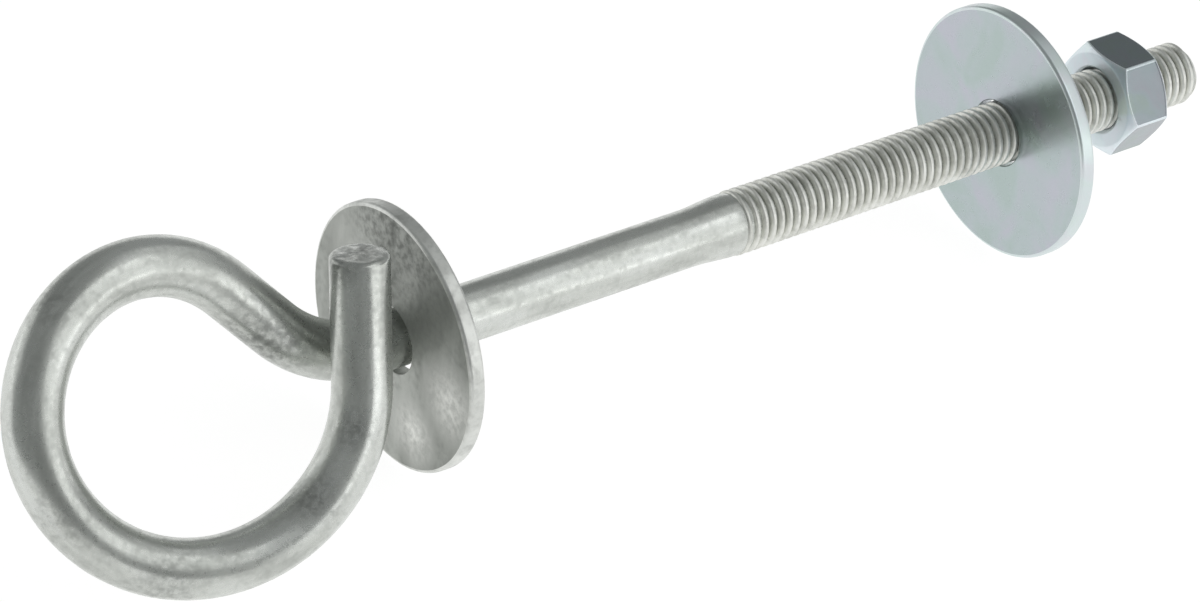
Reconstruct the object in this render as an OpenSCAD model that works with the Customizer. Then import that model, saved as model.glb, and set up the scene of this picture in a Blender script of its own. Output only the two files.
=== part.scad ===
// Swing hook: a galvanised round bar, threaded at one end and curled into a pigtail ring at the other,
// with a washer for each side of the timber and a hexagon nut. It lies on its two washers and its ring.
// X runs along the shank from the ring to the nut, and Z is up. The origin is on the shank's axis,
// at the face with which the front washer bears on the timber.

/* [Bar] */
// Diameter of the round bar
bar_d = 8.6; // [7:0.1:9]
// Straight length from the neck of the ring to the threaded tip
shank_l = 152.6; // [150:0.2:190]
// Outside diameter of the thread
thread_d = 9.8; // [9.4:0.1:10]
// Advance of the thread in one turn
thread_pitch = 1.5; // [1.2:0.05:1.6]
// Turns of full thread, from the tip
thread_turns = 60; // [45:1:62]
// Depth of the thread's grooves
thread_depth = 0.9; // [0.5:0.1:1]
// Length over which the bar widens into the thread
runout_l = 7.5; // [4:0.5:12]
// Chamfer of the threaded tip
tip_chamfer = 0.9; // [0.4:0.1:1.2]

/* [Ring] */
// Radius of the neck, where the bar leaves the shank's line, at the bar's middle
neck_r = 19.5; // [14:0.5:24]
// Angle through which the neck turns
neck_angle = 50; // [46:0.5:54]
// Straight length between the neck and the ring
lead_l = 9.5; // [7:0.5:12]
// Twist of the ring's first half out of the neck's plane
lead_twist = 5; // [3:0.5:8]
// Radius of the ring's first half, at the bar's middle
coil_r = 19.5; // [18:0.5:22]
// Angle of the ring's first half
coil_angle = 154; // [150:1:160]
// Twist of the ring's second half, which brings the free end past the shank
mouth_twist = 14; // [12:0.5:18]
// Radius of the ring's second half, at the bar's middle
mouth_r = 23.8; // [22:0.2:27]
// Angle of the ring's second half
mouth_angle = 155.5; // [150:0.5:160]
// Straight length of the free end, at the bar's middle
free_l = 18; // [10:0.5:24]
// Angle by which the free end is cut out of square
cut_angle = 12; // [0:1:20]
// Direction round the bar in which the cut leans, from the inside of the ring
cut_lean = 65; // [0:5:355]

/* [Washers] */
// Outside diameter of both washers
washer_d = 40; // [34:0.5:44]
// Thickness of both washers
washer_t = 2.5; // [1.5:0.1:3.5]
// Play of the thread in the washers' holes, on the diameter
washer_play = 0.7; // [0.4:0.1:1.5]
// Chamfer of the washers' rims
rim_chamfer = 0.5; // [0.2:0.1:0.7]
// Chamfer of the washers' holes
bore_chamfer = 0.2; // [0.1:0.1:0.5]
// Shank left free between the neck and the front washer
front_gap = 3.1; // [2:0.1:12]
// Room for the timber between the two washers
clamp_l = 109; // [90:0.5:112]

/* [Nut] */
// Width of the nut across its flats
nut_af = 16; // [15:0.5:18]
// Height of the nut
nut_h = 8; // [6:0.2:9]
// Play of the thread in the nut, on the diameter
nut_play = 0.1; // [0.06:0.02:0.16]
// Thread showing between the rear washer and the nut
nut_gap = 17.4; // [14:0.2:20]
// Angle at which the nut has come to a stop
nut_turn = 30; // [0:1:59]
// Angle of the chamfer on the nut's corners
nut_chamfer_angle = 30; // [20:1:35]
// Depth of the countersinks at both ends of the nut's thread
nut_sink = 0.6; // [0.3:0.1:0.9]

/* [Hidden] */
$fn = 96;

neck_x = -washer_t - front_gap;
tip_x = neck_x + shank_l;
thread_l = thread_turns * thread_pitch;
thread_x = tip_x - thread_l;
crest_share = 0.28;
root_share = 0.14;
flank_share = (1 - crest_share - root_share) / 2;
rear_x = clamp_l;
nut_x = rear_x + washer_t + nut_gap;
washer_bore = thread_d + washer_play;
nut_bore = thread_d + nut_play;
nut_corner_d = nut_af / cos(30);
nut_face_part = 0.95;
nut_face_d = nut_face_part * nut_af;
cut_extra = 1;
knuckle_extra = 0.04;
knuckle_d = bar_d + knuckle_extra;

galvanised = "#9b9e9a";
bright_zinc = "#b4c0c2";

// The wire's route, in steps of [point, travel, side]: side is the direction in which the next bend turns.
// The second axis is the neck's bending direction, and the third is square to the neck's plane.
function bend_point(at, r, a) = at[0] + r * at[2] * (1 - cos(a)) + r * at[1] * sin(a);
function after_bend(at, r, a) =
    [bend_point(at, r, a), at[1] * cos(a) + at[2] * sin(a), at[2] * cos(a) - at[1] * sin(a)];
function after_straight(at, l) = [at[0] + at[1] * l, at[1], at[2]];
function after_twist(at, a) = [at[0], at[1], at[2] * cos(a) + cross(at[1], at[2]) * sin(a)];

at_neck = [[neck_x, 0, 0], [-1, 0, 0], [0, 1, 0]];
at_coil = after_twist(after_straight(after_bend(at_neck, neck_r, neck_angle), lead_l), 180 + lead_twist);
at_mouth = after_twist(after_bend(at_coil, coil_r, coil_angle), mouth_twist);

// Height of the ring's lowest point over the shank's axis when the neck's plane is rolled by an angle
route_step = 3;
ring_route = concat(
    [for (a = [0 : route_step : coil_angle]) bend_point(at_coil, coil_r, a)],
    [for (a = [0 : route_step : mouth_angle]) bend_point(at_mouth, mouth_r, a)]
);
function ring_low(roll) = min([for (p = ring_route) p[1] * sin(roll) + p[2] * cos(roll)]) - bar_d / 2;

// The roll at which the ring and the washers stand on one floor, found by halving
settle_passes = 24;
function settle(low, high, passes) =
    let (mid = (low + high) / 2)
    passes == 0 ? mid :
    ring_low(mid) > -washer_d / 2 ? settle(mid, high, passes - 1) : settle(low, mid, passes - 1);
rest_roll = settle(0, 90, settle_passes);

// A bend that starts at the origin, runs along +Z and turns towards +X
module bend(r, a) {
    translate([r, 0, 0])
        rotate([90, 0, 180])
            rotate_extrude(angle = a)
                translate([r, 0])
                    circle(d = bar_d);
}

// A ball a hair wider than the bar, which makes one solid of the lengths that meet in it
module knuckle() {
    sphere(d = knuckle_d);
}

// Puts what follows at the end of such a bend
module past_bend(r, a) {
    translate([r - r * cos(a), 0, r * sin(a)])
        rotate([0, a, 0])
            children();
}

// A solid of revolution along +X, from an outline of [radius, place along X]
module turned(outline) {
    rotate([90, 0, 90])
        rotate_extrude()
            polygon(outline);
}

// The straight end of the ring, cut off a little out of square
module free_end() {
    waste = 2 * bar_d;
    knuckle();
    difference() {
        cylinder(h = free_l + bar_d, d = bar_d);
        translate([0, 0, free_l])
            rotate([0, cut_angle, cut_lean])
                translate([-waste / 2, -waste / 2, 0])
                    cube(waste);
    }
}

// The neck and the ring, from the shank's end, along +Z and first turning towards +X
module pigtail() {
    knuckle();
    bend(neck_r, neck_angle);
    past_bend(neck_r, neck_angle) {
        knuckle();
        cylinder(h = lead_l, d = bar_d);
        translate([0, 0, lead_l]) rotate([0, 0, 180 + lead_twist]) {
            knuckle();
            bend(coil_r, coil_angle);
            past_bend(coil_r, coil_angle) rotate([0, 0, mouth_twist]) {
                knuckle();
                bend(mouth_r, mouth_angle);
                past_bend(mouth_r, mouth_angle) free_end();
            }
        }
    }
}

// The outline of one turn of the thread from X: its crest, a groove, and the next crest's edge
function thread_turn(x) = [
    [thread_d / 2, x + crest_share * thread_pitch],
    [thread_d / 2 - thread_depth, x + (crest_share + flank_share) * thread_pitch],
    [thread_d / 2 - thread_depth, x + (1 - flank_share) * thread_pitch],
    [thread_d / 2, x + thread_pitch]
];

// The straight bar, its swelling and its thread, whose turns are rings here
module shank() {
    turned(concat(
        [
            [0, neck_x],
            [bar_d / 2, neck_x],
            [bar_d / 2, thread_x - runout_l],
            [thread_d / 2, thread_x]
        ],
        [for (turn = [0 : thread_turns - 2]) each thread_turn(thread_x + turn * thread_pitch)],
        [
            [thread_d / 2, tip_x - tip_chamfer],
            [thread_d / 2 - tip_chamfer, tip_x],
            [0, tip_x]
        ]
    ));
}

module hook_bolt() {
    color(galvanised) {
        shank();
        translate([neck_x, 0, 0])
            rotate([rest_roll - 90, 0, 0])
                rotate([0, -90, 0])
                    pigtail();
    }
}

// A washer with its ring-side face at X = 0
module washer() {
    bore_r = washer_bore / 2;
    rim_r = washer_d / 2;
    turned([
        [bore_r + bore_chamfer, 0],
        [rim_r - rim_chamfer, 0],
        [rim_r, rim_chamfer],
        [rim_r, washer_t - rim_chamfer],
        [rim_r - rim_chamfer, washer_t],
        [bore_r + bore_chamfer, washer_t],
        [bore_r, washer_t - bore_chamfer],
        [bore_r, bore_chamfer]
    ]);
}

module front_washer() {
    color(galvanised)
        translate([-washer_t, 0, 0])
            washer();
}

module rear_washer() {
    color(bright_zinc)
        translate([rear_x, 0, 0])
            washer();
}

// The barrel that rounds the nut's corners at both ends: its cones run out past the corners
module nut_barrel() {
    outer_r = nut_corner_d / 2 + cut_extra;
    drop = (outer_r - nut_face_d / 2) * tan(nut_chamfer_angle);
    turned([
        [0, 0],
        [nut_face_d / 2, 0],
        [outer_r, drop],
        [outer_r, nut_h - drop],
        [nut_face_d / 2, nut_h],
        [0, nut_h]
    ]);
}

module nut_thread() {
    bore_r = nut_bore / 2;
    turned([
        [0, -cut_extra],
        [bore_r + nut_sink + cut_extra, -cut_extra],
        [bore_r, nut_sink],
        [bore_r, nut_h - nut_sink],
        [bore_r + nut_sink + cut_extra, nut_h + cut_extra],
        [0, nut_h + cut_extra]
    ]);
}

module hex_nut() {
    color(bright_zinc)
        translate([nut_x, 0, 0])
            rotate([nut_turn, 0, 0])
                difference() {
                    intersection() {
                        rotate([0, 90, 0])
                            cylinder(h = nut_h, d = nut_corner_d, $fn = 6);
                        nut_barrel();
                    }
                    nut_thread();
                }
}

hook_bolt();
front_washer();
rear_washer();
hex_nut();
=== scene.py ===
# %% [markdown]
# A swing hook is one round steel bar. Its tail is threaded and goes through the swing's beam, and its
# head is curled into an open ring that a rope or a chain slips into. Two broad washers and a hexagon
# nut clamp it to the timber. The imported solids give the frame, and this lesson dresses them:
# first the light and the camera, then the finishes, then the pieces.

import math

import bmesh
import bpy
import numpy as np
from mathutils import Matrix, Vector, noise


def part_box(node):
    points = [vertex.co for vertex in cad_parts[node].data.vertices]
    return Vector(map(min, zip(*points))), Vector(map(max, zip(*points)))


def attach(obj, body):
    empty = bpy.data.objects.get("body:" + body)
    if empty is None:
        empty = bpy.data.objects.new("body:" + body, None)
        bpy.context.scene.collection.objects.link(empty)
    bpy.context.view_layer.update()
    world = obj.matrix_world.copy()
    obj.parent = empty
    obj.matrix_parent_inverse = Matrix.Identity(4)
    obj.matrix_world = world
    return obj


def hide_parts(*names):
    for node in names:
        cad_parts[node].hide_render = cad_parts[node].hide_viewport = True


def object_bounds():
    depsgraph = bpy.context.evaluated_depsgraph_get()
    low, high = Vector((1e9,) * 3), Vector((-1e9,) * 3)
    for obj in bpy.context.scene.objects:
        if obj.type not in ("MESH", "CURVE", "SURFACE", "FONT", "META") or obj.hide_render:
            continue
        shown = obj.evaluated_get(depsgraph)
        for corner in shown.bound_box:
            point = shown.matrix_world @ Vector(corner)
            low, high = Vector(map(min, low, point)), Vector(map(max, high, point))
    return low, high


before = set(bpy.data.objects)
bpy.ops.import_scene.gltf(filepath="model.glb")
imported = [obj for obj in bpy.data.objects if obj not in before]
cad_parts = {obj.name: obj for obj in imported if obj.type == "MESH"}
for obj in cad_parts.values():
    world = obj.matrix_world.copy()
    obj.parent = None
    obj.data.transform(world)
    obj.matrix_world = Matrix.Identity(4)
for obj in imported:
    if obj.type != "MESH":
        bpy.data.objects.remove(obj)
cad_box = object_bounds()
MM = 0.001
print("solids:", sorted(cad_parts))
print("box in mm:", [round(v / MM, 1) for corner in cad_box for v in corner])

# %% [markdown]
# Colours are written as sRGB hex values, as a paint chart gives them, but Blender's nodes count in
# linear light. One function turns the one into the other. Another small function adds a node, sets it
# and links it, so that each tree below reads like a list of what it does.

# %% Two helpers for node trees
def linear(hex_colour):
    """An sRGB hex value as the linear colour that a node takes."""
    parts = [int(hex_colour[i:i + 2], 16) / 255 for i in (1, 3, 5)]
    return tuple(p / 12.92 if p <= 0.04045 else ((p + 0.055) / 1.055) ** 2.4 for p in parts) + (1.0,)


def add_node(tree, kind, inputs=None, **settings):
    """One node: its settings by name, its inputs by socket name or number, as values or as links."""
    node = tree.nodes.new(kind)
    for name, value in settings.items():
        setattr(node, name, value)
    for socket, value in (inputs or {}).items():
        if isinstance(value, bpy.types.NodeSocket):
            tree.links.new(value, node.inputs[socket])
        else:
            node.inputs[socket].default_value = value
    return node


print("mid grey #808080 in linear light:", round(linear("#808080")[0], 3))

# %% [markdown]
# The camera stands where the photographer stood: in front of the ring, to its left and well above it,
# with a long lens, and held a little crooked. It is given as a compass direction, a height, a roll, a
# distance and the point that it aims at, because those are the numbers one would note down in a studio.

# %% Camera
AZIMUTH, ELEVATION, ROLL = (math.radians(d) for d in (-39.475, 35.428, 6.541))
DISTANCE = 685.13 * MM
AIM = Vector((33.906, -0.903, -5.386)) * MM
FOCAL_MM, SENSOR_MM = 141.28, 36.0


def towards(azimuth, elevation):
    """The unit direction from the object to a compass direction and height: azimuth 0 is in front, at -Y."""
    return Vector((math.sin(azimuth) * math.cos(elevation), -math.cos(azimuth) * math.cos(elevation),
                   math.sin(elevation)))


back = towards(AZIMUTH, ELEVATION)
camera = bpy.data.objects.new("studio_camera", bpy.data.cameras.new("studio_camera"))
camera.data.lens, camera.data.sensor_width = FOCAL_MM, SENSOR_MM
level = (-back).to_track_quat("-Z", "Y").to_matrix()
turned = (level @ Matrix.Rotation(ROLL, 3, "Z")).to_4x4()
camera.matrix_world = Matrix.Translation(AIM + back * DISTANCE) @ turned
bpy.context.scene.collection.objects.link(camera)
bpy.context.scene.camera = camera
print("camera at", [round(v / MM) for v in camera.location], "mm")

# %% [markdown]
# Metal shows what is around it, so the room matters as much as the lamps. The hook lies on a wide white
# floor that curves up into a low white wall on all sides, and above it the room is grey. That is what
# gives the bar its dark upper edge and its bright belly. Rays that the camera or a mirror sends see the
# floor as nearly plain white, and the rest of its shade is real, so the shadow stays.

# %% Floor and wall
FLOOR_Z = cad_box[0][2]
FLOOR_R, WALL_H, COVE_R = 2.6, 0.42, 0.4
GLOW_SHARE, GLOW = 0.72, 1.27


def turned_sheet(name, outline, segments):
    """An open sheet of revolution round Z from an outline of (radius, height), in metres."""
    mesh = bpy.data.meshes.new(name)
    sheet = bmesh.new()
    profile = [sheet.verts.new((r, 0, z)) for r, z in outline]
    edges = [sheet.edges.new(pair) for pair in zip(profile, profile[1:])]
    bmesh.ops.spin(sheet, geom=profile + edges, cent=(0, 0, 0), axis=(0, 0, 1), angle=2 * math.pi,
                   steps=segments, use_merge=True)
    bmesh.ops.remove_doubles(sheet, verts=sheet.verts, dist=1e-6)
    bmesh.ops.recalc_face_normals(sheet, faces=sheet.faces)
    sheet.to_mesh(mesh)
    sheet.free()
    mesh.polygons.foreach_set("use_smooth", [True] * len(mesh.polygons))
    thing = bpy.data.objects.new(name, mesh)
    bpy.context.scene.collection.objects.link(thing)
    return thing


flat = [(0, FLOOR_Z), (FLOOR_R / 3, FLOOR_Z)]
cove = [(FLOOR_R - COVE_R + COVE_R * math.sin(a), FLOOR_Z + COVE_R * (1 - math.cos(a)))
        for a in np.linspace(0, math.pi / 2, 9)]
floor = turned_sheet("white_floor", flat + cove + [(FLOOR_R, FLOOR_Z + WALL_H)], segments=64)

paper = bpy.data.materials.new("white_paper_sweep")
paper.use_nodes = True
tree = paper.node_tree
tree.nodes.clear()
ray = add_node(tree, "ShaderNodeLightPath")
seen = add_node(tree, "ShaderNodeMath", {0: ray.outputs["Is Camera Ray"], 1: ray.outputs["Is Glossy Ray"]},
                operation="MAXIMUM")
seen = add_node(tree, "ShaderNodeMath", {0: seen.outputs[0], 1: ray.outputs["Is Transmission Ray"]},
                operation="MAXIMUM")
share = add_node(tree, "ShaderNodeMath", {0: seen.outputs[0], 1: GLOW_SHARE}, operation="MULTIPLY")
matt = add_node(tree, "ShaderNodeBsdfDiffuse", {"Color": linear("#f4f4f2")})
# the glow is the larger part of what one sees and the lit paper the rest: together they are just white
white = add_node(tree, "ShaderNodeEmission", {"Color": linear("#ffffff"), "Strength": GLOW})
both = add_node(tree, "ShaderNodeMixShader", {0: share.outputs[0], 1: matt.outputs[0], 2: white.outputs[0]})
add_node(tree, "ShaderNodeOutputMaterial", {"Surface": both.outputs[0]})
floor.data.materials.append(paper)
print("floor at z =", round(FLOOR_Z / MM, 2), "mm, with", len(floor.data.polygons), "faces")

# %% [markdown]
# The photograph tells where the light stood: each point of the bar mirrors one direction, and what it
# shows there is bright or dark. A large soft box stands well to the camera's right and draws the bright
# stripe along every length of the bar. A weaker one hangs further round, and a low one at the back left
# lifts the edges. The room itself is grey, which the nut's upper flat shows best.

# %% Lamps and room
def soft_box(name, azimuth, elevation, distance, width, height, radiance):
    """A rectangular soft box, in degrees and metres; its radiance is what a mirror would show of it."""
    data = bpy.data.lights.new(name, "AREA")
    data.shape, data.size, data.size_y = "RECTANGLE", width, height
    data.energy = radiance * math.pi * width * height
    lamp = bpy.data.objects.new(name, data)
    way = towards(math.radians(azimuth), math.radians(elevation))
    lamp.location = AIM + way * distance
    lamp.rotation_euler = (-way).to_track_quat("-Z", "Y").to_euler()
    lamp.visible_camera = False
    bpy.context.scene.collection.objects.link(lamp)


soft_box("key_soft_box", 27, 33, 0.9, 0.7, 1.12, 0.92)
soft_box("right_soft_box", 78, 52, 1.0, 0.8, 0.7, 0.36)
soft_box("back_soft_box", -140, 16, 1.2, 1.1, 0.5, 0.6)
room = bpy.data.worlds.new("grey_room")
room.use_nodes = True
room.node_tree.nodes["Background"].inputs["Color"].default_value = linear("#909292")
room.node_tree.nodes["Background"].inputs["Strength"].default_value = 1.0
bpy.context.scene.world = room
bpy.context.scene.view_settings.view_transform = "Standard"

# %% [markdown]
# White paper all round would leave the ring without its dark bands. A photographer gives a bright metal
# its edges back with a strip of card, which the metal mirrors and the lens does not see. Here it stands
# on the floor in a low arc on the camera's side, and it could also be a wall of the room.

# %% Grey card
CARD_R, CARD_H = 0.2, 0.085
CARD_CENTRE = Vector((-0.02, 0, FLOOR_Z))
arc = []
for degrees in range(-104, 9, 8):
    foot = CARD_CENTRE + towards(math.radians(degrees), 0) * CARD_R
    arc += [foot, foot + Vector((0, 0, CARD_H))]
card_mesh = bpy.data.meshes.new("grey_card")
card_mesh.from_pydata(arc, [], [(i, i + 2, i + 3, i + 1) for i in range(0, len(arc) - 2, 2)])
card_paper = bpy.data.materials.new("matt_grey_card")
card_paper.use_nodes = True
card_paper.node_tree.nodes["Principled BSDF"].inputs["Base Color"].default_value = linear("#cdcfcf")
card_paper.node_tree.nodes["Principled BSDF"].inputs["Roughness"].default_value = 0.9
card_mesh.materials.append(card_paper)
card = bpy.data.objects.new("grey_card", card_mesh)
card.visible_camera = False
bpy.context.scene.collection.objects.link(card)
print("card", round(CARD_H / MM), "mm high, in", len(card_mesh.polygons), "panels")

# %% [markdown]
# Hot-dip galvanised steel is steel that was dipped in molten zinc. The coat is satin rather than bright,
# thicker in some places than in others, and peppered with dark ash. Soft clouds lean the colour, a finer
# noise scatters the pepper where the clouds are dark, and lumps in the coat break up the highlights. On
# the bar they run along its length, and on the plate they hang down as the zinc ran off. A mark is a
# place where one sees more: a smudge on the ring where the bar hung in the bath, painted shade at the
# free end's tip and on the front washer's upper face, and a painted sheen lower down on that washer.

# %% Galvanised finish
DRAWN_OUT = 0.22
LENGTHWISE, EVEN, HANGING = "along the bar", (1.0, 1.0, 1.0), (1.0, 1.0, DRAWN_OUT)
GRAIN_MM, LUMP_MM = 1.1, 2.4


def galvanised_finish(name, pale, mid, dark, cloud_mm, run, rough, marks):
    """Satin, cloudy zinc. run draws out its clouds; marks are (colour, place and reach in mm, share): dirt
    smudges, painted shade and painted sheen.
    """
    finish = bpy.data.materials.new(name)
    finish.use_nodes = True
    tree = finish.node_tree
    tree.nodes.clear()
    per_metre = 1 / MM
    place = add_node(tree, "ShaderNodeTexCoord").outputs["Object"]
    if run == LENGTHWISE:
        # the bar was drawn through a die, so what one sees runs along it, round the ring too
        section = add_node(tree, "ShaderNodeAttribute", attribute_name="section").outputs["Vector"]
        along = add_node(tree, "ShaderNodeAttribute", attribute_name="along").outputs["Fac"]
        slow = add_node(tree, "ShaderNodeMath", {0: along, 1: DRAWN_OUT}, operation="MULTIPLY").outputs[0]
        step = add_node(tree, "ShaderNodeCombineXYZ", {2: slow}).outputs[0]
        drawn = add_node(tree, "ShaderNodeVectorMath", {0: section, 1: step}, operation="ADD").outputs[0]
    else:
        drawn = add_node(tree, "ShaderNodeVectorMath", {0: place, 1: run}, operation="MULTIPLY").outputs[0]
    # clouds a few millimetres wide, drawn out where the zinc ran off, are the slow change of tone
    cloud = add_node(tree, "ShaderNodeTexNoise", {"Vector": drawn, "Scale": per_metre / cloud_mm,
                                                  "Detail": 4.0, "Roughness": 0.55}).outputs[0]
    ramp = add_node(tree, "ShaderNodeValToRGB", {0: cloud})
    ramp.color_ramp.elements[0].position, ramp.color_ramp.elements[0].color = 0.36, linear(dark)
    ramp.color_ramp.elements[1].position, ramp.color_ramp.elements[1].color = 0.64, linear(pale)
    ramp.color_ramp.elements.new(0.5).color = linear(mid)
    # pepper of half a millimetre gives the eye the grey grain of dipped zinc
    grain = add_node(tree, "ShaderNodeTexNoise", {"Vector": place, "Scale": per_metre / GRAIN_MM,
                                                  "Detail": 3.0, "Roughness": 0.6}).outputs[0]
    thick = add_node(tree, "ShaderNodeMath", {0: cloud, 1: -0.3, 2: grain},
                     operation="MULTIPLY_ADD").outputs[0]
    pepper = add_node(tree, "ShaderNodeMapRange", {0: thick, 1: 0.33, 2: 0.55, 3: 0.0, 4: 0.16}).outputs[0]
    colour = add_node(tree, "ShaderNodeMix", {0: pepper, 6: ramp.outputs[0], 7: linear("#777a75")},
                      data_type="RGBA").outputs[2]
    # each mark mixes its colour in round its place; the marks are dirt smudges, painted shade and painted sheen
    for tone, spot, reach, share in marks:
        away = add_node(tree, "ShaderNodeVectorMath", {0: place, 1: Vector(spot) * MM}, operation="DISTANCE")
        near = add_node(tree, "ShaderNodeMapRange",
                        {0: away.outputs["Value"], 1: reach * MM, 2: 0.0, 3: 0.0, 4: share})
        patch = add_node(tree, "ShaderNodeMapRange", {0: grain, 1: 0.36, 2: 0.64, 3: 0.3, 4: 1.0})
        cover = add_node(tree, "ShaderNodeMath", {0: patch.outputs[0], 1: near.outputs[0]},
                         operation="MULTIPLY")
        colour = add_node(tree, "ShaderNodeMix", {0: cover.outputs[0], 6: colour, 7: linear(tone)},
                          data_type="RGBA").outputs[2]
    gloss = add_node(tree, "ShaderNodeMapRange", {0: thick, 1: 0.2, 2: 0.55, 3: rough - 0.04, 4: rough + 0.1})
    lumps = add_node(tree, "ShaderNodeTexNoise",
                     {"Vector": drawn, "Scale": per_metre / LUMP_MM, "Detail": 3.0, "Roughness": 0.52})
    relief = add_node(tree, "ShaderNodeBump",
                      {"Strength": 0.27, "Distance": 0.16 * MM, "Height": lumps.outputs[0]})
    # the grey bloom on the zinc is matt, which lifts the sides that mirror nothing bright
    metal = add_node(tree, "ShaderNodeBsdfPrincipled",
                     {"Base Color": colour, "Metallic": 0.86, "Roughness": gloss.outputs[0],
                      "Normal": relief.outputs[0]})
    add_node(tree, "ShaderNodeOutputMaterial", {"Surface": metal.outputs[0]})
    return finish


# a dark colour for smudges of dirt and for painted shade, and a pale one for a painted sheen
SOOT_AND_PAINTED_SHADE, PAINTED_SHEEN = "#30322f", "#f2f3ef"
bar_smudges_and_painted_shade = (
    (SOOT_AND_PAINTED_SHADE, (-25.7, 1.1, 8.1), 7.0, 0.6),
    (SOOT_AND_PAINTED_SHADE, (-22.0, -0.8, 5.0), 6.0, 0.5),
    (SOOT_AND_PAINTED_SHADE, (-26.0, -18.0, -7.5), 5.0, 0.6),
    (SOOT_AND_PAINTED_SHADE, (-18.7, -15.8, 0.3), 4.0, 0.6),
    (SOOT_AND_PAINTED_SHADE, (-49.0, -17.0, -14.0), 7.0, 0.4),
    (SOOT_AND_PAINTED_SHADE, (-54.6, 6.3, 20.5), 5.0, 0.35),
    (SOOT_AND_PAINTED_SHADE, (-61.5, -9.4, -3.4), 6.0, 0.35),
    # these two darken the free end's tip and its cut face: painted shade
    (SOOT_AND_PAINTED_SHADE, (-15.8, -4.7, 19.6), 3.5, 0.6),
    (SOOT_AND_PAINTED_SHADE, (-11.4, -3.3, 19.9), 5.5, 0.7),
)
# on the front washer's face the darker upper part is painted shade, and the pale patches are a painted sheen
plate_painted_shade_and_sheen = (
    (SOOT_AND_PAINTED_SHADE, (-2.5, 3.0, 19.0), 17.0, 0.55),
    (PAINTED_SHEEN, (-2.5, -15.0, -1.5), 8.0, 1.0),
    (PAINTED_SHEEN, (-2.5, -7.0, -12.0), 6.5, 1.0),
    (PAINTED_SHEEN, (-2.5, 13.6, 9.5), 7.0, 0.3),
)
galvanised_bar = galvanised_finish("satin_galvanised_bar", "#d9dcd8", "#cfd2cd", "#bec1bc",
                                   4.0, LENGTHWISE, 0.28, bar_smudges_and_painted_shade)
# a paler copy of the bar's finish: painted light that lifts the shade in the thread's grooves
galvanised_thread_light_paint = galvanised_finish("satin_galvanised_thread", "#eeefea", "#e8e9e3", "#dcddd7",
                                      4.0, EVEN, 0.45, ())
galvanised_plate = galvanised_finish("dull_galvanised_plate", "#b9bcb7", "#adb0ab", "#9ea19c",
                                     7.0, HANGING, 0.5, plate_painted_shade_and_sheen)
# a paler copy of the washer's finish for its rim: a painted highlight
galvanised_rim_highlight_paint = galvanised_finish("bright_galvanised_rim", "#e2e4e0", "#d8dad6", "#c6c8c4",
                                   5.0, EVEN, 0.4, ())
dipped = (galvanised_bar, galvanised_thread_light_paint, galvanised_plate, galvanised_rim_highlight_paint)
print("galvanised finishes:", [m.name for m in dipped])

# %% [markdown]
# The rear washer and the nut are electroplated: a thin, even, bluish coat of zinc that is brighter than
# the dipped one. It is passivated, which leaves faint rainbow tints, violet here and green there. The
# tints are one slow noise that leans the colour a little, and a finer one that varies the gloss.

# %% Plated finish
FINE_MM = 1.5


def plated_finish(name, base, violet, green, tint_mm, rough):
    """Bright zinc plate with faint tints of its passivation."""
    finish = bpy.data.materials.new(name)
    finish.use_nodes = True
    tree = finish.node_tree
    tree.nodes.clear()
    place = add_node(tree, "ShaderNodeTexCoord").outputs["Object"]
    per_metre = 1 / MM
    tint = add_node(tree, "ShaderNodeTexNoise", {"Vector": place, "Scale": per_metre / tint_mm, "Detail": 3.0,
                                                 "Roughness": 0.5, "Distortion": 0.8})
    ramp = add_node(tree, "ShaderNodeValToRGB", {0: tint.outputs[0]})
    ramp.color_ramp.elements[0].position, ramp.color_ramp.elements[0].color = 0.35, linear(green)
    ramp.color_ramp.elements[1].position, ramp.color_ramp.elements[1].color = 0.68, linear(violet)
    ramp.color_ramp.elements.new(0.5).color = linear(base)
    fine = add_node(tree, "ShaderNodeTexNoise",
                    {"Vector": place, "Scale": per_metre / FINE_MM, "Detail": 2.0, "Roughness": 0.5})
    gloss = add_node(tree, "ShaderNodeMapRange",
                     {0: fine.outputs[0], 1: 0.3, 2: 0.7, 3: rough - 0.02, 4: rough + 0.03})
    relief = add_node(tree, "ShaderNodeBump",
                      {"Strength": 0.12, "Distance": 0.05 * MM, "Height": fine.outputs[0]})
    metal = add_node(tree, "ShaderNodeBsdfPrincipled",
                     {"Base Color": ramp.outputs[0], "Metallic": 1.0, "Roughness": gloss.outputs[0],
                      "Normal": relief.outputs[0]})
    add_node(tree, "ShaderNodeOutputMaterial", {"Surface": metal.outputs[0]})
    return finish


plated_washer = plated_finish("bright_zinc_washer", "#b4bfc1", "#babdc6", "#afbdbb", 9.0, 0.25)
plated_nut = plated_finish("bright_zinc_nut", "#949ea2", "#969aa0", "#929e9c", 5.0, 0.2)
# a much paler copy of the nut's finish: a painted highlight
plated_nut_highlight_paint = plated_finish("turned_zinc_nut_face", "#e0eaee", "#e2e6ec", "#deeae8", 5.0, 0.4)
# a paler copy of the plated washer's finish for its rim: a painted highlight
plated_rim_highlight_paint = plated_finish("bright_zinc_rim", "#d4dedf", "#d6dade", "#d2dedc", 5.0, 0.34)
print("plated finishes:", [m.name for m in (plated_washer, plated_rim_highlight_paint, plated_nut, plated_nut_highlight_paint)])

# %% [markdown]
# Pieces that follow a rule are grown by Geometry Nodes. A tree has named inputs for its sizes, a start
# object feeds it, and the result is turned into a plain mesh, so that nothing live is left on the piece.
# Three small functions open a tree, close it and grow a piece with it.

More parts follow.
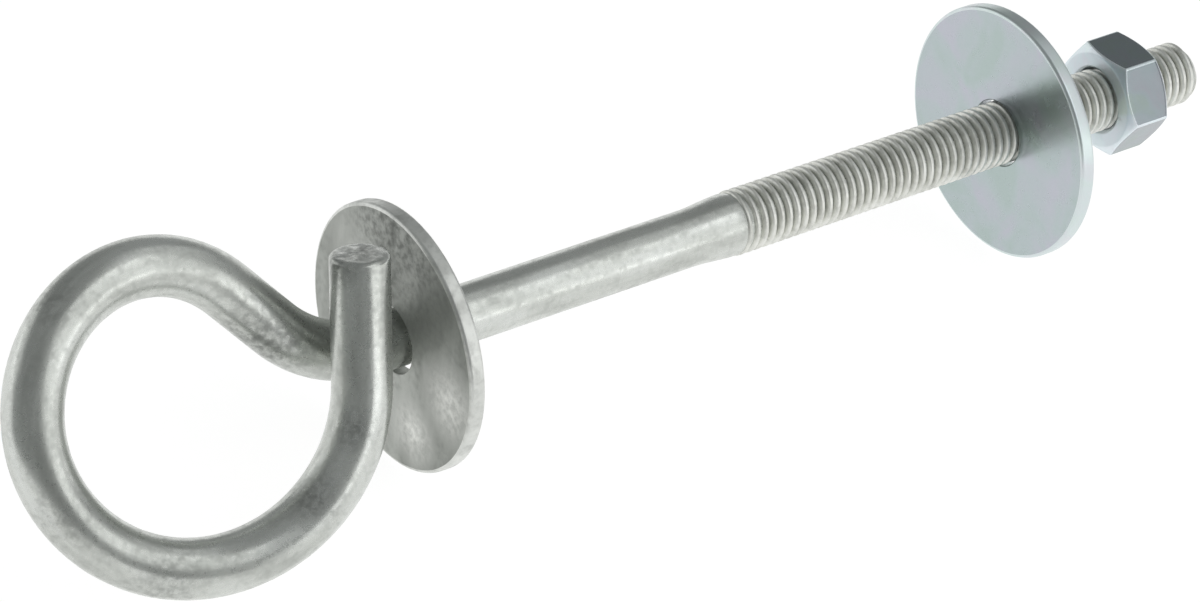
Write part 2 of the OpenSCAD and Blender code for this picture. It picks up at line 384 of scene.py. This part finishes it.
# %% Growing a piece from a tree
def open_tree(name, sizes):
    """A new tree with a geometry input and named inputs, and the sockets of its Group Input."""
    tree = bpy.data.node_groups.new(name, "GeometryNodeTree")
    tree.interface.new_socket("Geometry", in_out="INPUT", socket_type="NodeSocketGeometry")
    for label, kind in sizes.items():
        tree.interface.new_socket(label, in_out="INPUT", socket_type="NodeSocket" + kind)
    tree.interface.new_socket("Finish", in_out="INPUT", socket_type="NodeSocketMaterial")
    tree.interface.new_socket("Geometry", in_out="OUTPUT", socket_type="NodeSocketGeometry")
    return tree, add_node(tree, "NodeGroupInput").outputs


def close_tree(tree, mesh, given):
    """Ends a tree in one real, smooth and painted mesh."""
    real = add_node(tree, "GeometryNodeRealizeInstances", {0: mesh})
    smooth = add_node(tree, "GeometryNodeSetShadeSmooth", {0: real.outputs[0]})
    painted = add_node(tree, "GeometryNodeSetMaterial", {0: smooth.outputs[0], "Material": given["Finish"]})
    add_node(tree, "NodeGroupOutput", {0: painted.outputs[0]})


def grow(name, tree, source, **sizes):
    """The mesh that a tree makes of a source curve or mesh, with faces that point outwards."""
    holder = bpy.data.objects.new(name + "_source", source)
    bpy.context.scene.collection.objects.link(holder)
    live = holder.modifiers.new(tree.name, "NODES")
    live.node_group = tree
    for item in tree.interface.items_tree:
        key = item.name.lower().replace(" ", "_")
        if item.in_out == "INPUT" and key in sizes:
            live[item.identifier] = sizes[key]
    mesh = bpy.data.meshes.new_from_object(holder.evaluated_get(bpy.context.evaluated_depsgraph_get()))
    bpy.data.objects.remove(holder)
    mesh.name = name
    shell = bmesh.new()
    shell.from_mesh(mesh)
    bmesh.ops.recalc_face_normals(shell, faces=shell.faces)
    shell.to_mesh(mesh)
    shell.free()
    return mesh


def piece(mesh, body, node):
    """Puts a finished mesh in the scene, on its body, in place of the solid that it stands for."""
    thing = bpy.data.objects.new(mesh.name, mesh)
    bpy.context.scene.collection.objects.link(thing)
    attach(thing, body)
    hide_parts(node)
    triangles = sum(len(p.vertices) - 2 for p in mesh.polygons)
    print(mesh.name, "rides on", body, "with", triangles, "triangles")


# %% [markdown]
# A bending machine makes the ring: it pushes the straight bar forward, bends it round a former, twists
# it and bends it again. The route below is told in the same words. Each step keeps a point, the
# direction of travel and the side towards which the next bend turns.

# %% Route of the bar
# a hair less than the bar's 4.3 mm, so that the sweep's corners stay inside the solid
BAR_R = 4.285 * MM
NECK_X, THREAD_X, RUNOUT_X, TIP_X = (x * MM for x in (-5.6, 57.0, 49.5, 147.0))
REST_ROLL = math.radians(63.917)
STEP = 1.0 * MM
NECK, COIL, MOUTH = (19.5 * MM, 50), (19.5 * MM, 154), (23.8 * MM, 155.5)
LEAD, FREE = 9.5 * MM, 18 * MM
LEAD_TWIST, MOUTH_TWIST = 185, 14


class Bender:
    """Feeds, bends and twists a bar, and keeps the points that its middle line passes."""

    def __init__(self, point, travel, side):
        self.point, self.travel, self.side = point, travel, side
        self.points = [point.copy()]

    def feed(self, length):
        steps = max(1, round(length / STEP))
        start = self.point
        self.points += [start + self.travel * length * i / steps for i in range(1, steps + 1)]
        self.point = self.points[-1]

    def bend(self, radius, degrees):
        angle = math.radians(degrees)
        steps = round(radius * angle / STEP)
        middle = self.point + self.side * radius
        travel, side = self.travel, self.side
        for i in range(1, steps + 1):
            a = angle * i / steps
            self.points.append(middle - radius * (side * math.cos(a) - travel * math.sin(a)))
        self.point = self.points[-1]
        self.travel = travel * math.cos(angle) + side * math.sin(angle)
        self.side = side * math.cos(angle) - travel * math.sin(angle)

    def twist(self, degrees):
        a = math.radians(degrees)
        self.side = self.side * math.cos(a) + self.travel.cross(self.side) * math.sin(a)


rolled = Vector((0, math.cos(REST_ROLL), math.sin(REST_ROLL)))
ring = Bender(Vector((NECK_X, 0, 0)), Vector((-1, 0, 0)), rolled)
ring.bend(*NECK)
ring.feed(LEAD)
ring.twist(LEAD_TWIST)
ring.bend(*COIL)
ring.twist(MOUTH_TWIST)
ring.bend(*MOUTH)
ring.feed(FREE)
print("ring of", len(ring.points), "points ends at", [round(v / MM, 1) for v in ring.point], "mm")

# %% [markdown]
# The same bar is the shank, so it is one sweep from the threaded tip to the free end. Its radius
# changes along the way: the core of the thread is thinner than the bar, and before the thread the bar
# swells into a short cone, from which the thread's first turns come out shallow. The sweep stores how
# far along the bar a point lies, and where it lies in the round section, for the streaks of the finish.

# %% Bar swept along its route
ROOT_R, SWELL_R, SHALLOW = 4.12 * MM, 4.74 * MM, 4.5 * MM
END_EXTRA = 2.0 * MM


def shank_profile():
    """Points from the tip to the neck as (place along X, radius)."""
    tip = [(TIP_X, ROOT_R - 0.7 * MM), (TIP_X - 0.25 * MM, ROOT_R - 0.45 * MM), (TIP_X - 0.9 * MM, ROOT_R)]
    core = [(x, ROOT_R) for x in np.arange(TIP_X - 2 * MM, THREAD_X + SHALLOW, -1 * MM)]
    shoulder = [(THREAD_X + SHALLOW * u, SWELL_R + (ROOT_R - SWELL_R) * u)
                for u in (0.85, 0.7, 0.5, 0.3, 0.15, 0)]
    cone = []
    for u in np.linspace(0, 1, 9)[1:]:
        ease = u * u * (3 - 2 * u)
        cone.append((THREAD_X + u * (RUNOUT_X - THREAD_X), SWELL_R + ease * (BAR_R - SWELL_R)))
    bar = [(x, BAR_R) for x in np.arange(RUNOUT_X - 1.2 * MM, NECK_X + 0.5 * MM, -1 * MM)]
    return tip + core + shoulder + cone + bar


route = [(Vector((x, 0, 0)), r) for x, r in shank_profile()] + [(p, BAR_R) for p in ring.points]
route.append((ring.point + ring.travel * END_EXTRA, BAR_R))
line = bpy.data.curves.new("bar_route", "CURVE")
line.dimensions = "3D"
spline = line.splines.new("POLY")
spline.points.add(len(route) - 1)
for spot, (point, radius) in zip(spline.points, route):
    spot.co, spot.radius = (*point, 1), radius / BAR_R

tree, given = open_tree("round_bar_sweep", {"Bar diameter": "Float", "Sides": "Int"})
length = add_node(tree, "GeometryNodeSplineParameter").outputs["Length"]
tagged = add_node(tree, "GeometryNodeStoreNamedAttribute",
                  {"Geometry": given["Geometry"], "Name": "along", "Value": length},
                  data_type="FLOAT", domain="POINT")
half = add_node(tree, "ShaderNodeMath", {0: given["Bar diameter"], 1: 0.5}, operation="MULTIPLY")
circle = add_node(tree, "GeometryNodeCurvePrimitiveCircle",
                  {"Resolution": given["Sides"], "Radius": half.outputs[0]})
spot = add_node(tree, "GeometryNodeInputPosition").outputs[0]
section = add_node(tree, "GeometryNodeStoreNamedAttribute",
                   {"Geometry": circle.outputs[0], "Name": "section", "Value": spot},
                   data_type="FLOAT_VECTOR", domain="POINT")
width = add_node(tree, "GeometryNodeInputRadius").outputs[0]
swept = add_node(tree, "GeometryNodeCurveToMesh",
                 {"Curve": tagged.outputs[0], "Profile Curve": section.outputs[0], "Scale": width,
                  "Fill Caps": True})
close_tree(tree, swept.outputs[0], given)
bar = grow("galvanised_bar", tree, line, bar_diameter=2 * BAR_R, sides=56, finish=galvanised_bar)
print("bar swept through", len(route), "points,", len(bar.polygons), "faces")

# %% [markdown]
# The free end was cropped off by a shear, a little out of square. The cut is a plane through the bar,
# and rings that shrink towards its middle close it: the first few round the lip, and the rest are
# broken up with a fixed noise, because a sheared face is torn rather than smooth.

# %% Cropped free end
CUT_ANGLE, CUT_LEAN = math.radians(12), math.radians(65)
LIP = 0.75 * MM
LIP_RINGS = [(1 - LIP / BAR_R * (1 - math.cos(a)), LIP * math.sin(a))
             for a in np.radians([15, 32, 50, 70, 90])]
FACE_RINGS = (0.73, 0.61, 0.48, 0.35, 0.22, 0.1)
TEAR = 0.14


def crop_end(mesh, centre, normal):
    """Cuts the mesh off at a plane, and closes it with a rounded lip and a torn face."""
    shell = bmesh.new()
    shell.from_mesh(mesh)
    section_layer = shell.verts.layers.float_vector["section"]
    near = {v for v in shell.verts if (v.co - centre).length < 3 * BAR_R}
    local = list(near) + list({e for v in near for e in v.link_edges})
    local += list({f for v in near for f in v.link_faces})
    cut = bmesh.ops.bisect_plane(shell, geom=local, plane_co=centre - normal * LIP, plane_no=normal,
                                 clear_outer=True)
    across = normal.orthogonal().normalized()
    rim = [v for v in cut["geom_cut"] if isinstance(v, bmesh.types.BMVert)]
    rim.sort(key=lambda v: math.atan2((v.co - centre).dot(normal.cross(across)), (v.co - centre).dot(across)))
    hub = sum((v.co for v in rim), Vector()) / len(rim)
    last = rim
    for share, rise in LIP_RINGS + [(s, LIP) for s in FACE_RINGS]:
        ring_now = []
        for v in rim:
            spot = hub + (v.co - hub) * share + normal * rise
            torn = noise.noise(spot * (0.55 / MM)) + 0.5 * noise.noise(spot * (1.7 / MM))
            ring_now.append(shell.verts.new(spot + normal * min(0.0, torn - 0.25) * rise * TEAR, v))
            ring_now[-1][section_layer] = v[section_layer] * share
        for i in range(len(rim)):
            shell.faces.new((last[i - 1], last[i], ring_now[i], ring_now[i - 1]))
        last = ring_now
    shell.faces.new(last)
    bmesh.ops.recalc_face_normals(shell, faces=shell.faces)
    shell.to_mesh(mesh)
    shell.free()
    print("free end cropped through", len(rim), "points")


lean = ring.side * math.cos(CUT_LEAN) + ring.travel.cross(ring.side) * math.sin(CUT_LEAN)
cut_normal = ring.travel * math.cos(CUT_ANGLE) + lean * math.sin(CUT_ANGLE)
crop_end(bar, ring.point, cut_normal)
bar.polygons.foreach_set("use_smooth", [True] * len(bar.polygons))
bar.set_sharp_from_angle(angle=math.radians(40))
piece(bar, "bolt", "hook_bolt")

# %% [markdown]
# The thread is a ridge that winds round the core, 1.5 mm further with each turn. A spiral gives the
# path and a small trapezium the ridge, with its crest rounded by the zinc. The ridge starts inside the
# cone, so it comes out of it gradually, and it sinks away at the tip's chamfer.

# %% Thread wound by a spiral
PITCH, CREST_R, SUNK = 1.5 * MM, 4.9 * MM, 0.05 * MM
tree, given = open_tree("wound_thread", {
    "Turns": "Float", "Pitch": "Float", "Base radius": "Float", "Ridge height": "Float",
    "Base width": "Float", "Crest width": "Float", "Crest rounding": "Float", "Fade in": "Float",
    "Fade out": "Float", "Start": "Float"})
rise = add_node(tree, "ShaderNodeMath", {0: given["Turns"], 1: given["Pitch"]}, operation="MULTIPLY")
winding = add_node(tree, "GeometryNodeCurveSpiral",
                   {"Resolution": 48, "Rotations": given["Turns"], "Start Radius": given["Base radius"],
                    "End Radius": given["Base radius"], "Height": rise.outputs[0]})
upright = add_node(tree, "GeometryNodeSetCurveNormal", {"Curve": winding.outputs[0]}, mode="Z_UP")
outwards = add_node(tree, "ShaderNodeMath", {0: given["Ridge height"], 1: -1.0}, operation="MULTIPLY")
corners = []
for across, width, side in ((0.0, "Base width", -0.5), (outwards.outputs[0], "Crest width", -0.5),
                            (outwards.outputs[0], "Crest width", 0.5), (0.0, "Base width", 0.5)):
    along = add_node(tree, "ShaderNodeMath", {0: given[width], 1: side}, operation="MULTIPLY")
    corners.append(add_node(tree, "ShaderNodeCombineXYZ", {0: across, 1: along.outputs[0]}).outputs[0])
ridge = add_node(tree, "GeometryNodeCurvePrimitiveQuadrilateral",
                 {"Point %d" % (i + 1): corner for i, corner in enumerate(corners)}, mode="POINTS")
soft = add_node(tree, "GeometryNodeFilletCurve",
                {"Curve": ridge.outputs[0], "Radius": given["Crest rounding"], "Count": 3,
                 "Limit Radius": True}, mode="POLY")
way = add_node(tree, "GeometryNodeSplineParameter").outputs["Factor"]
fade_in = add_node(tree, "ShaderNodeMapRange", {0: way, 1: 0.0, 2: given["Fade in"], 3: 0.02, 4: 1.0})
left = add_node(tree, "ShaderNodeMath", {0: 1.0, 1: way}, operation="SUBTRACT")
fade_out = add_node(tree, "ShaderNodeMapRange",
                    {0: left.outputs[0], 1: 0.0, 2: given["Fade out"], 3: 0.02, 4: 1.0})
size = add_node(tree, "ShaderNodeMath", {0: fade_in.outputs[0], 1: fade_out.outputs[0]}, operation="MULTIPLY")
wound = add_node(tree, "GeometryNodeCurveToMesh",
                 {"Curve": upright.outputs[0], "Profile Curve": soft.outputs[0], "Scale": size.outputs[0],
                  "Fill Caps": True})
shift = add_node(tree, "ShaderNodeCombineXYZ", {0: given["Start"]})
laid = add_node(tree, "GeometryNodeTransform", {"Geometry": wound.outputs[0], "Translation": shift.outputs[0],
                                                "Rotation": (0, math.pi / 2, 0)})
close_tree(tree, laid.outputs[0], given)
thread_tree = tree

THREAD_START = THREAD_X - 1.0 * MM
TURNS = (TIP_X - 0.5 * MM - THREAD_START) / PITCH
thread = grow("rolled_thread", thread_tree, bpy.data.meshes.new("empty"), turns=TURNS, pitch=PITCH,
              base_radius=ROOT_R - SUNK, ridge_height=CREST_R - ROOT_R + SUNK, base_width=1.36 * MM,
              crest_width=0.5 * MM, crest_rounding=0.18 * MM, fade_in=0.8 / TURNS, fade_out=0.6 / TURNS,
              start=THREAD_START, finish=galvanised_thread_light_paint)
piece(thread, "bolt", "hook_bolt")
radii = [math.hypot(v.co.y, v.co.z) / MM for v in thread.vertices]
ends = [v.co.x / MM for v in thread.vertices]
print("thread of", round(TURNS, 1), "turns, radius", round(min(radii), 3), "to", round(max(radii), 3),
      "mm, from", round(min(ends), 2), "to", round(max(ends), 2), "mm")

# %% [markdown]
# A washer is a flat ring punched from sheet, and the punch and the plating leave its edges round. A
# small rounded rectangle swept round a circle gives it in one go, with its own rounding for the rim
# and for the hole. Weighted normals keep the two faces flat to the eye. The rims get a paler copy of
# their washer's finish, a painted highlight where the edge faces the light.

# %% Washers swept round a circle
HOLE_D, RIM_R = 10.5 * MM, 19.5 * MM
tree, given = open_tree("punched_washer", {
    "Outside diameter": "Float", "Hole diameter": "Float", "Thickness": "Float", "Rim rounding": "Float",
    "Hole rounding": "Float", "Start": "Float"})
diameters = {0: given["Outside diameter"], 1: given["Hole diameter"]}
spread = add_node(tree, "ShaderNodeMath", diameters, operation="ADD")
middle = add_node(tree, "ShaderNodeMath", {0: spread.outputs[0], 1: 0.25}, operation="MULTIPLY")
gap = add_node(tree, "ShaderNodeMath", diameters, operation="SUBTRACT")
breadth = add_node(tree, "ShaderNodeMath", {0: gap.outputs[0], 1: 0.5}, operation="MULTIPLY")
strip = add_node(tree, "GeometryNodeCurvePrimitiveQuadrilateral",
                 {"Width": breadth.outputs[0], "Height": given["Thickness"]}, mode="RECTANGLE")
apart = add_node(tree, "ShaderNodeSeparateXYZ", {0: add_node(tree, "GeometryNodeInputPosition").outputs[0]})
outer = add_node(tree, "ShaderNodeMath", {0: apart.outputs[0], 1: 0.0}, operation="GREATER_THAN")
rounding = add_node(tree, "ShaderNodeMix",
                    {0: outer.outputs[0], 2: given["Hole rounding"], 3: given["Rim rounding"]})
soft = add_node(tree, "GeometryNodeFilletCurve",
                {"Curve": strip.outputs[0], "Radius": rounding.outputs[0], "Count": 6, "Limit Radius": True},
                mode="POLY")
hoop = add_node(tree, "GeometryNodeCurvePrimitiveCircle", {"Resolution": 144, "Radius": middle.outputs[0]})
swept = add_node(tree, "GeometryNodeCurveToMesh",
                 {"Curve": hoop.outputs[0], "Profile Curve": soft.outputs[0]})
shift = add_node(tree, "ShaderNodeCombineXYZ", {0: given["Start"]})
laid = add_node(tree, "GeometryNodeTransform", {"Geometry": swept.outputs[0], "Translation": shift.outputs[0],
                                                "Rotation": (0, math.pi / 2, 0)})
close_tree(tree, laid.outputs[0], given)
washer_tree = tree


def flat_faces(mesh):
    """Gives a mesh normals that follow its large faces, so that they look flat beside rounded edges."""
    holder = bpy.data.objects.new("holder", mesh)
    bpy.context.scene.collection.objects.link(holder)
    weighted = holder.modifiers.new("weighted", "WEIGHTED_NORMAL")
    weighted.mode, weighted.weight = "FACE_AREA", 100
    ready = bpy.data.meshes.new_from_object(holder.evaluated_get(bpy.context.evaluated_depsgraph_get()))
    name = mesh.name
    bpy.data.objects.remove(holder)
    bpy.data.meshes.remove(mesh)
    ready.name = name
    return ready


for name, node, finish, rim, slot in (
        ("galvanised_washer", "front_washer", galvanised_plate, galvanised_rim_highlight_paint, "hot_dip_galvanised_washer"),
        ("plated_washer", "rear_washer", plated_washer, plated_rim_highlight_paint, "zinc_plated_washer")):
    low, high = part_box(node)
    disc = flat_faces(grow(name, washer_tree, bpy.data.meshes.new("empty"), outside_diameter=high[2] - low[2],
                           hole_diameter=HOLE_D, thickness=high[0] - low[0], rim_rounding=0.55 * MM,
                           hole_rounding=0.25 * MM, start=(low[0] + high[0]) / 2, finish=finish))
    # the rim takes the paler copy of the finish: a painted highlight
    disc.materials.append(rim)
    for face in disc.polygons:
        face.material_index = int(math.hypot(face.center.y, face.center.z) > RIM_R)
    piece(disc, node, node)

# %% [markdown]
# The nut was forged and then turned: its hexagon has slightly rounded corners, and a cone takes the
# corners down at both ends, which leaves the curved line on each flat. Both shapes have a formula, so
# the skin is a grid of rings, each with its own radius for every direction, from the hole out over the
# face and the cone, along the flats, and back in on the other side. The faces, the cones and the corners
# get a much paler copy of the nut's finish, a painted highlight, and the flats keep the plain one.

# %% Nut from rings
NUT_LOW, NUT_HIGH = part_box("hex_nut")[0][0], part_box("hex_nut")[1][0]
NUT_H, NUT_FLAT = NUT_HIGH - NUT_LOW, 8.0 * MM
CORNER_R, CONE_R, BORE_R, SINK = 0.4 * MM, 7.6 * MM, 4.95 * MM, 0.6 * MM
CONE_SLOPE = math.tan(math.radians(30))


def hexagon(angle):
    """The nut's radius in a direction, with its corners rounded; corners lie at 0, 60, 120 degrees."""
    off = (angle + math.pi / 6) % (math.pi / 3) - math.pi / 6
    hub = (NUT_FLAT - CORNER_R) / math.cos(math.pi / 6)
    if abs(off) < math.atan2(CORNER_R / 2, hub + CORNER_R * math.cos(math.pi / 6)):
        return hub * math.cos(off) + math.sqrt(CORNER_R ** 2 - (hub * math.sin(off)) ** 2)
    return NUT_FLAT / math.cos(math.pi / 6 - abs(off))


corner_turns = np.radians([-3.0, -1.5, -0.75, 0, 0.75, 1.5, 3.0, 6, 10, 15, 20, 25, 30, 35, 40, 45, 50, 54])
directions = np.concatenate([corner_turns + math.pi / 3 * i for i in range(6)])
edges = np.array([hexagon(a) for a in directions])
EDGE = 0.16 * MM
HIGHLIGHT_CORNER_R, HIGHLIGHT_FACE_SLOPE = 9.08 * MM, 0.15


def half_skin():
    """Rings of (radii, depths), one of each for every direction, from the hole to the middle of the flats."""
    same = np.ones_like(edges)
    depth = (edges - CONE_R) * CONE_SLOPE
    slant = math.cos(math.radians(30))
    rings = [(BORE_R * same, NUT_H / 2 * same), (BORE_R * same, SINK * same)]
    rings += [((BORE_R + SINK * u) * same, SINK * (1 - u) * same) for u in (0.12, 0.85)]
    rings += [((BORE_R + SINK + 0.1 * MM) * same, 0 * same), ((CONE_R - 0.12 * MM) * same, 0 * same)]
    rings += [((CONE_R + 0.02 * MM) * same, 0.03 * MM * same)]
    for u in (0.3, 0.7):
        rings.append((CONE_R + (edges - EDGE - CONE_R) * u, (edges - EDGE - CONE_R) * u * CONE_SLOPE))
    rings.append((edges - EDGE * slant, depth - EDGE * slant * CONE_SLOPE))
    rings.append((edges - 0.045 * MM, depth + 0.02 * MM))
    rings.append((edges, depth + EDGE))
    rings.append((edges, depth + 3 * EDGE))
    return rings


front = half_skin()
skin = [(r, NUT_LOW + d) for r, d in front] + [(r, NUT_HIGH - d) for r, d in reversed(front[1:])]
verts = [(x, r * math.cos(a), r * math.sin(a)) for rs, xs in skin for r, x, a in zip(rs, xs, directions)]
count = len(directions)
faces = [(i * count + j, i * count + (j + 1) % count, (i + 1) % len(skin) * count + (j + 1) % count,
          (i + 1) % len(skin) * count + j) for i in range(len(skin)) for j in range(count)]
nut = bpy.data.meshes.new("plated_nut")
nut.from_pydata(verts, [], faces)
shell = bmesh.new()
shell.from_mesh(nut)
bmesh.ops.remove_doubles(shell, verts=shell.verts, dist=1e-7)
bmesh.ops.recalc_face_normals(shell, faces=shell.faces)
shell.to_mesh(nut)
shell.free()
nut.polygons.foreach_set("use_smooth", [True] * len(nut.polygons))
nut.materials.append(plated_nut)
nut.materials.append(plated_nut_highlight_paint)
# the faces, the cones and the rounded corners take the paler copy: a painted highlight
for face in nut.polygons:
    corner = math.hypot(face.center.y, face.center.z) > HIGHLIGHT_CORNER_R
    face.material_index = int(corner or abs(face.normal.x) > HIGHLIGHT_FACE_SLOPE)
piece(flat_faces(nut), "nut", "hex_nut")

# %% [markdown]
# A tap cuts the nut's thread, so its ridge looks inwards and lies in the bolt's groove, half a turn
# further on. The bolt's tree winds it too: a height below zero turns the ridge towards the axis.

# %% Thread in the nut
SET_BACK = 0.9 * MM
first = math.ceil((NUT_LOW + SET_BACK - THREAD_START) / PITCH - 0.5) + 0.5
nut_turns = math.floor((NUT_HIGH - SET_BACK - THREAD_START) / PITCH - first)
inner = grow("nut_thread", thread_tree, bpy.data.meshes.new("empty"), turns=float(nut_turns), pitch=PITCH,
             base_radius=BORE_R + 0.02 * MM, ridge_height=-0.68 * MM, base_width=0.86 * MM,
             crest_width=0.26 * MM, crest_rounding=0.06 * MM, fade_in=0.4 / nut_turns, fade_out=0.4 / nut_turns,
             start=THREAD_START + first * PITCH, finish=plated_nut)
piece(inner, "nut", "hex_nut")

# %% Sizes and finish
print("solids, mm: ", [[round(v / MM, 2) for v in c] for c in cad_box])
